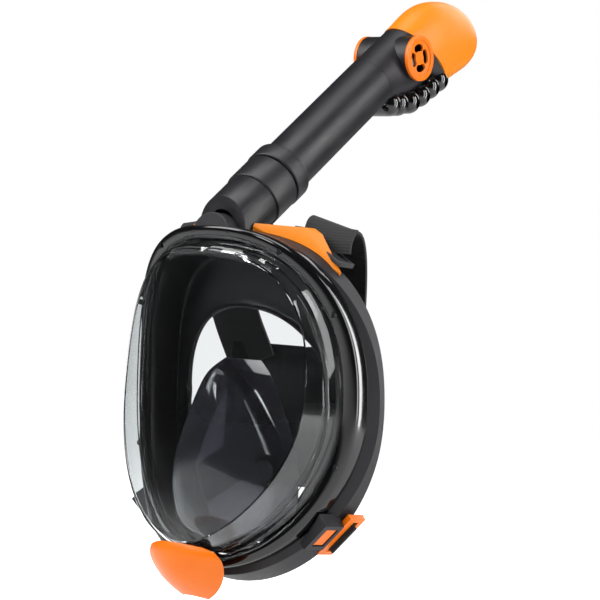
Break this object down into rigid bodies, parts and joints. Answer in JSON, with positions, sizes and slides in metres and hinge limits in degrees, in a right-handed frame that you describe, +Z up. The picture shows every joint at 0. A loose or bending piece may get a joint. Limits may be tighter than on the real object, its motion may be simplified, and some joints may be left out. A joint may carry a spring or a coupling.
{
  "type": "full face snorkel",
  "caption": "Full face snorkel mask with a curved clear lens, silicone face seal, nose pocket, folding breathing tube with a dry top, and a strap harness.",
  "frame": {"origin": "centre of the face seal, where the mask meets the face", "axes": "+X towards the wearer's left, +Y back into the head, +Z up"},
  "size_m": [0.193, 0.2805, 0.4126],
  "materials": {
    "clear_pc": "polished, clear",
    "smoke_pc": "polished, smoked",
    "black_gloss": "moulded, glossy",
    "black_satin": "moulded, satin",
    "black_matte": "moulded, fine matte",
    "orange": "moulded, satin",
    "silicone": "moulded silicone, satin",
    "valve_silicone": "thin silicone",
    "webbing": "woven elastic webbing",
    "steel": "machined",
    "float_white": "hollow, smooth"
  },
  "bodies": {
    "mask": {"lens": "clear_pc", "bezel": "black_gloss", "bezel_screws": "steel", "frame_shell": "black_matte", "stem": "black_satin", "stem_gasket": "silicone", "hinge_pin": "steel", "skirt": "silicone", "nose_pocket": "smoke_pc", "purge_valve_seat": "black_gloss", "chin_cover": "orange", "back_pad": "silicone", "check_valve_seat_left": "black_gloss", "check_valve_seat_right": "black_gloss", "strap_anchor_cover_left": "orange", "strap_anchor_cover_right": "orange", "strap_anchor_loop_left": "black_matte", "strap_anchor_loop_right": "black_matte", "strap_buckle_left": "orange", "strap_buckle_right": "orange", "upper_strap_left": "webbing", "upper_strap_right": "webbing", "lower_strap_left": "webbing", "lower_strap_right": "webbing"},
    "snorkel": {"joint_sleeve": "black_satin", "snorkel_tube": "black_satin", "air_divider": "black_satin", "drytop_housing": "black_satin", "drain_cage": "black_gloss", "hood_cap": "orange", "inlet_grille_left": "orange", "inlet_grille_right": "orange"},
    "collar": {"lock_collar": "black_satin"},
    "float_l": {"float_left": "float_white"},
    "float_r": {"float_right": "float_white"},
    "drain_flap": {"drain_flap": "valve_silicone"},
    "check_flap_l": {"check_valve_flap_left": "silicone"},
    "check_flap_r": {"check_valve_flap_right": "silicone"},
    "purge_flap": {"purge_valve_flap": "valve_silicone"},
    "button_l": {"buckle_button_left": "orange"},
    "button_r": {"buckle_button_right": "orange"}
  },
  "joints": [
    {"name": "snorkel_fold", "type": "hinge", "parent": "mask", "child": "snorkel", "pos_m": [0, -0.0133, 0.10773], "axis": [-1, 0, 0], "range_deg": [0, 90]},
    {"name": "collar_twist", "type": "hinge", "parent": "snorkel", "child": "collar", "pos_m": [0, -0.0291, 0.1271], "axis": [0, 0.7749, 0.632], "range_deg": [0, 30]},
    {"name": "float_slide_left", "type": "slide", "parent": "snorkel", "child": "float_l", "axis": [0, 0.7749, 0.632], "range_m": [0, 0.0106]},
    {"name": "float_slide_right", "type": "slide", "parent": "snorkel", "child": "float_r", "axis": [0, 0.7749, 0.632], "range_m": [0, 0.0106]},
    {"name": "drain_flap_lift", "type": "slide", "parent": "snorkel", "child": "drain_flap", "axis": [0, 0.632, -0.7749], "range_m": [0, 0.0015], "stiffness_N_per_m": 60},
    {"name": "check_flap_lift_left", "type": "slide", "parent": "mask", "child": "check_flap_l", "axis": [0.7211, -0.691, 0.0501], "range_m": [0, 0.0012], "stiffness_N_per_m": 60},
    {"name": "check_flap_lift_right", "type": "slide", "parent": "mask", "child": "check_flap_r", "axis": [-0.7211, -0.691, 0.0501], "range_m": [0, 0.0012], "stiffness_N_per_m": 60},
    {"name": "purge_flap_lift", "type": "slide", "parent": "mask", "child": "purge_flap", "axis": [0, -0.4512, -0.8924], "range_m": [0, 0.0015], "stiffness_N_per_m": 60},
    {"name": "buckle_press_left", "type": "slide", "parent": "mask", "child": "button_l", "axis": [-0.6746, 0.1027, 0.731], "range_m": [0, 0.0015], "stiffness_N_per_m": 600},
    {"name": "buckle_press_right", "type": "slide", "parent": "mask", "child": "button_r", "axis": [0.6746, 0.1027, 0.731], "range_m": [0, 0.0015], "stiffness_N_per_m": 600}
  ]
}
